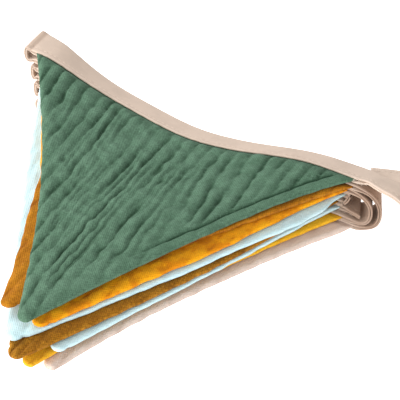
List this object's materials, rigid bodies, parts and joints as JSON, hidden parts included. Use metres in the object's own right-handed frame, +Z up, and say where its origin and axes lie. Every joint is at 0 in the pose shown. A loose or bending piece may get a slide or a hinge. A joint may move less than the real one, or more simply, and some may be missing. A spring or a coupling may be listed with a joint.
{
  "type": "fabric bunting",
  "caption": "Triangular muslin flags sewn into one doubled cotton tape, folded to and fro into a stack that lies flat, with the tape's end turned back into a hanging loop.",
  "frame": {"origin": "on the surface that the stack lies on, under the middle of the whole stack's bounding box", "axes": "+X along the tape towards the hanging loop, -Y towards the flags' tips, +Z up from the surface"},
  "size_m": [0.201, 0.1642, 0.0376],
  "materials": {
    "green_muslin": "crinkled double muslin",
    "ochre_muslin": "crinkled double muslin",
    "orange_muslin": "crinkled double muslin",
    "aqua_muslin": "crinkled double muslin",
    "brown_muslin": "crinkled double muslin",
    "yellow_muslin": "crinkled double muslin",
    "beige_muslin": "crinkled double muslin",
    "cotton_tape": "matt woven cotton"
  },
  "bodies": {
    "root": {"flag_1_green": "green_muslin", "flag_2_ochre": "ochre_muslin", "flag_3_orange": "orange_muslin", "flag_4_aqua": "aqua_muslin", "flag_5_brown": "brown_muslin", "flag_6_aqua": "aqua_muslin", "flag_7_yellow": "yellow_muslin", "flag_8_beige": "beige_muslin", "tape": "cotton_tape"}
  },
  "joints": []
}
